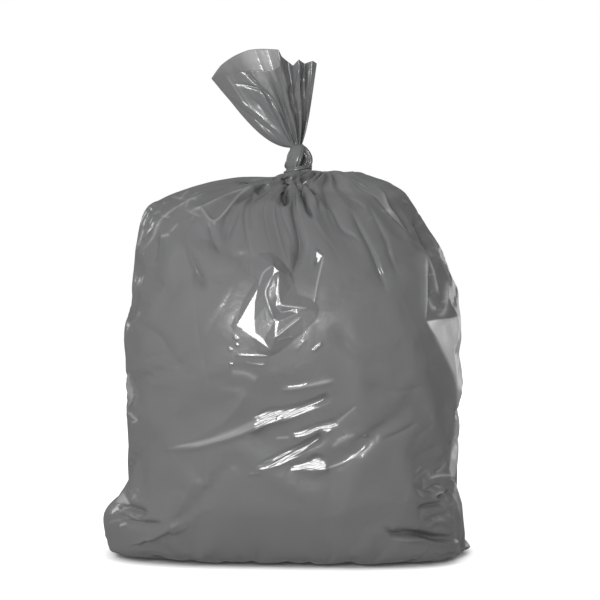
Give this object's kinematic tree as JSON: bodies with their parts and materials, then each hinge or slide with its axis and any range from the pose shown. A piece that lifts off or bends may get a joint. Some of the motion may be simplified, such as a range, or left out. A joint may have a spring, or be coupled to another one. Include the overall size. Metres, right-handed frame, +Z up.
{
  "type": "filled bin bag",
  "caption": "Filled plastic film refuse sack standing on its flat base, gathered to a knotted neck with a pleated open tail.",
  "frame": {"origin": "middle of the part's outline in plan, on the floor that the bag stands on", "axes": "+Z up, +X to the right seen from the front, -Y towards the viewer, the side that the picture shows"},
  "size_m": [0.5277, 0.4008, 0.727],
  "materials": {
    "film": "glossy thin film"
  },
  "bodies": {
    "root": {"bin_bag": "film"}
  },
  "joints": []
}
